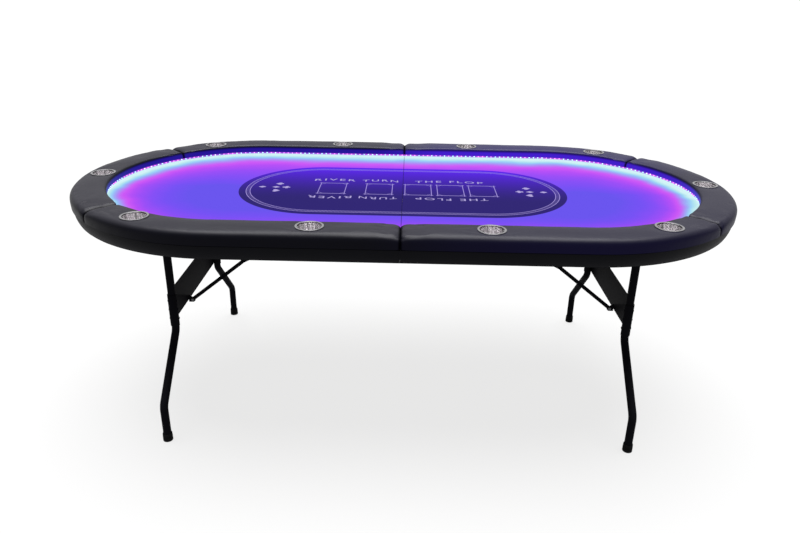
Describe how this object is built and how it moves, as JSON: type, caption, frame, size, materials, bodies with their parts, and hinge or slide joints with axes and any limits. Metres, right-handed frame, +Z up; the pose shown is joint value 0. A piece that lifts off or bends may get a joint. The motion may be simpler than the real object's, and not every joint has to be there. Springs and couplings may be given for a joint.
{
  "type": "folding oval card table",
  "caption": "Folding oval card table with padded rail, drop-in cup holders, lit speed-cloth surface and hinged wishbone legs.",
  "frame": {"origin": "on the floor, under the middle of the table", "axes": "+X along the table's length, +Y across it towards the back, +Z up"},
  "size_m": [2.134, 1.096, 0.7485],
  "materials": {
    "rail_vinyl": "black vinyl with a fine leather grain over foam, soft sheen",
    "apron_vinyl": "black vinyl skin over board, satin",
    "speed_cloth": "smooth woven speed cloth, printed blue-violet with a dark centre panel and pale lines",
    "plywood": "sealed plywood, pale brown, matte",
    "stainless": "drawn stainless steel, polished rim",
    "light_strip": "light strip, white film with small clear lenses",
    "powder_coat": "black powder coat, fine orange peel, satin",
    "foot_rubber": "moulded black rubber, matte",
    "zinc_steel": "zinc plated steel, satin",
    "black_plastic": "moulded black plastic, fine texture"
  },
  "bodies": {
    "left_half": {"left_deck_board": "plywood", "left_play_cloth": "speed_cloth", "left_apron": "apron_vinyl", "left_seam_joist": "plywood", "left_rail_board": "plywood", "left_light_strip": "light_strip", "left_rail_pad_front": "rail_vinyl", "left_rail_pad_end": "rail_vinyl", "left_rail_pad_back": "rail_vinyl", "left_cup_holder_front_side": "stainless", "left_cup_holder_front_corner": "stainless", "left_cup_holder_end": "stainless", "left_cup_holder_back_corner": "stainless", "left_cup_holder_back_side": "stainless", "left_leg_bracket_front": "powder_coat", "left_leg_bracket_back": "powder_coat", "left_brace_bracket": "powder_coat", "left_fold_leaf_front": "zinc_steel", "left_fold_leaf_back": "zinc_steel", "fold_pin_front": "zinc_steel", "fold_pin_back": "zinc_steel"},
    "right_half": {"right_deck_board": "plywood", "right_play_cloth": "speed_cloth", "right_apron": "apron_vinyl", "right_seam_joist": "plywood", "right_rail_board": "plywood", "right_light_strip": "light_strip", "right_rail_pad_front": "rail_vinyl", "right_rail_pad_end": "rail_vinyl", "right_rail_pad_back": "rail_vinyl", "right_cup_holder_front_side": "stainless", "right_cup_holder_front_corner": "stainless", "right_cup_holder_end": "stainless", "right_cup_holder_back_corner": "stainless", "right_cup_holder_back_side": "stainless", "right_leg_bracket_front": "powder_coat", "right_leg_bracket_back": "powder_coat", "right_brace_bracket": "powder_coat", "right_fold_leaf_front": "zinc_steel", "right_fold_leaf_back": "zinc_steel", "light_controller": "black_plastic"},
    "left_leg_frame": {"left_leg_tube_front": "powder_coat", "left_leg_tube_back": "powder_coat", "left_leg_pivot_rod": "powder_coat", "left_leg_cross_plate": "powder_coat", "left_foot_cap_front": "foot_rubber", "left_foot_cap_back": "foot_rubber", "left_brace_pin": "zinc_steel"},
    "left_brace_lower": {"left_brace_lower_link": "powder_coat"},
    "left_brace_upper": {"left_brace_upper_link": "powder_coat"},
    "right_leg_frame": {"right_leg_tube_front": "powder_coat", "right_leg_tube_back": "powder_coat", "right_leg_pivot_rod": "powder_coat", "right_leg_cross_plate": "powder_coat", "right_foot_cap_front": "foot_rubber", "right_foot_cap_back": "foot_rubber", "right_brace_pin": "zinc_steel"},
    "right_brace_lower": {"right_brace_lower_link": "powder_coat"},
    "right_brace_upper": {"right_brace_upper_link": "powder_coat"}
  },
  "joints": [
    {"name": "table_fold", "type": "hinge", "parent": "left_half", "child": "right_half", "pos_m": [0, 0, 0.657], "axis": [0, 1, 0], "range_deg": [0, 90]},
    {"name": "left_leg_fold", "type": "hinge", "parent": "left_half", "child": "left_leg_frame", "pos_m": [-0.728, 0, 0.674], "axis": [0, -1, 0], "range_deg": [0, 90]},
    {"name": "left_lower_link_turn", "type": "hinge", "parent": "left_leg_frame", "child": "left_brace_lower", "pos_m": [-0.728, -0.0605, 0.314], "axis": [0, -1, 0], "range_deg": [0, 52]},
    {"name": "left_upper_link_turn", "type": "hinge", "parent": "left_half", "child": "left_brace_upper", "pos_m": [-0.12202, -0.0545, 0.674], "axis": [0, 1, 0], "range_deg": [0, 27.5]},
    {"name": "right_leg_fold", "type": "hinge", "parent": "right_half", "child": "right_leg_frame", "pos_m": [0.728, 0, 0.674], "axis": [0, 1, 0], "range_deg": [0, 90]},
    {"name": "right_lower_link_turn", "type": "hinge", "parent": "right_leg_frame", "child": "right_brace_lower", "pos_m": [0.728, -0.0605, 0.314], "axis": [0, 1, 0], "range_deg": [0, 52]},
    {"name": "right_upper_link_turn", "type": "hinge", "parent": "right_half", "child": "right_brace_upper", "pos_m": [0.12202, -0.0545, 0.674], "axis": [0, -1, 0], "range_deg": [0, 27.5]}
  ],
  "couplings": [
    {"joint": "left_lower_link_turn", "follows": "left_leg_fold", "ratio": 0.57333},
    {"joint": "left_upper_link_turn", "follows": "left_leg_fold", "ratio": 0.3},
    {"joint": "right_lower_link_turn", "follows": "right_leg_fold", "ratio": 0.57333},
    {"joint": "right_upper_link_turn", "follows": "right_leg_fold", "ratio": 0.3}
  ]
}
